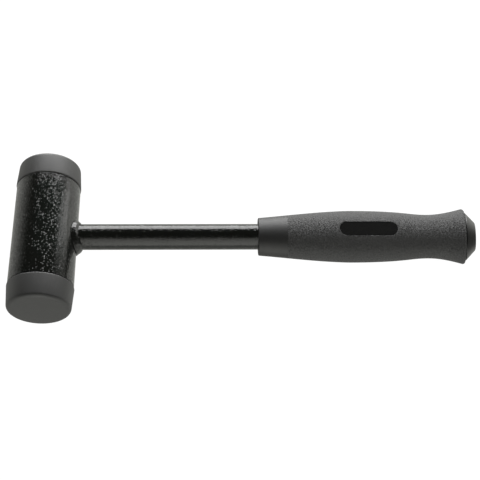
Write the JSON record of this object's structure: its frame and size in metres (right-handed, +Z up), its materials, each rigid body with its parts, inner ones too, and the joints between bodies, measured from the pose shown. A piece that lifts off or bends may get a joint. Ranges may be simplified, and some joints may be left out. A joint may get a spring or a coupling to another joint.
{
  "type": "dead blow hammer",
  "caption": "Dead blow hammer: painted steel tube head with nylon striking faces and loose shot inside, welded tube handle, moulded grip with an oval inlay.",
  "frame": {"origin": "middle of the hammer's bounding box, on the surface that the hammer lies on", "axes": "+X along the handle from the head to the butt, +Y along the head's axis, +Z up"},
  "size_m": [0.3542, 0.125, 0.05],
  "materials": {
    "black_paint": "glossy black paint with a fine pebbled texture over steel",
    "grey_nylon": "satin dark grey moulded nylon",
    "bare_steel": "plain bright steel",
    "grip_plastic": "smooth dark grey hard plastic",
    "grip_rubber": "dark grey soft over-mould with a fine spark-eroded grain",
    "plaque_gloss": "glossy black, bare"
  },
  "bodies": {
    "hammer": {"head_tube": "black_paint", "handle_tube": "black_paint", "handle_weld": "black_paint", "front_face": "grey_nylon", "rear_face": "grey_nylon", "front_chamber_disc": "bare_steel", "rear_chamber_disc": "bare_steel", "front_face_pin": "bare_steel", "rear_face_pin": "bare_steel", "grip_core": "grip_plastic", "grip_cover": "grip_rubber", "grip_plaque": "plaque_gloss"},
    "shot": {"shot_ball_01": "bare_steel", "shot_ball_02": "bare_steel", "shot_ball_03": "bare_steel", "shot_ball_04": "bare_steel", "shot_ball_05": "bare_steel", "shot_ball_06": "bare_steel", "shot_ball_07": "bare_steel", "shot_ball_08": "bare_steel", "shot_ball_09": "bare_steel", "shot_ball_10": "bare_steel", "shot_ball_11": "bare_steel", "shot_ball_12": "bare_steel", "shot_ball_13": "bare_steel", "shot_ball_14": "bare_steel", "shot_ball_15": "bare_steel", "shot_ball_16": "bare_steel", "shot_ball_17": "bare_steel", "shot_ball_18": "bare_steel", "shot_ball_19": "bare_steel", "shot_ball_20": "bare_steel", "shot_ball_21": "bare_steel", "shot_ball_22": "bare_steel", "shot_ball_23": "bare_steel", "shot_ball_24": "bare_steel", "shot_ball_25": "bare_steel", "shot_ball_26": "bare_steel", "shot_ball_27": "bare_steel", "shot_ball_28": "bare_steel", "shot_ball_29": "bare_steel", "shot_ball_30": "bare_steel"}
  },
  "joints": [
    {"name": "shot_slide", "type": "slide", "parent": "hammer", "child": "shot", "axis": [0, 1, 0], "range_m": [-0.009, 0.009]}
  ]
}
